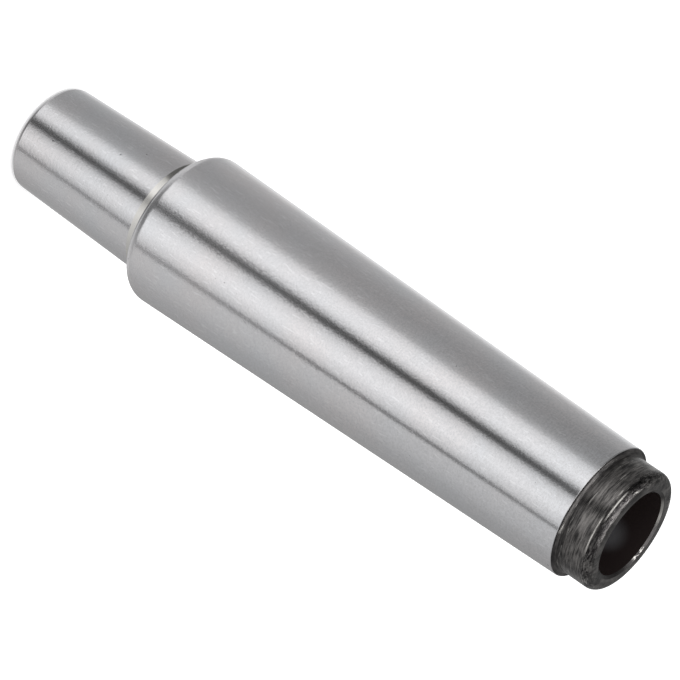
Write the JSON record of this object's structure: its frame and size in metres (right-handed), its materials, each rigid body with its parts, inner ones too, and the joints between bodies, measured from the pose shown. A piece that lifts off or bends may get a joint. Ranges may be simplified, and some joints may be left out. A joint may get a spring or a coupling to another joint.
{
  "type": "drill chuck arbor",
  "caption": "Turned steel arbor with a Morse taper shank, a short chuck taper beyond a rounded shoulder, and a tapped drawbar hole.",
  "frame": {"origin": "centre of the flat end face of the chuck taper, on which the arbor stands", "axes": "+Z along the arbor's axis, from the chuck taper to the drawbar end; the arbor is round, so X and Y are any two directions across it"},
  "size_m": [0.024, 0.024, 0.1102],
  "materials": {
    "ground_steel": "fine-ground tapers, with the spigot at the drawbar end left black from hardening"
  },
  "bodies": {
    "root": {"arbor": "ground_steel"}
  },
  "joints": []
}
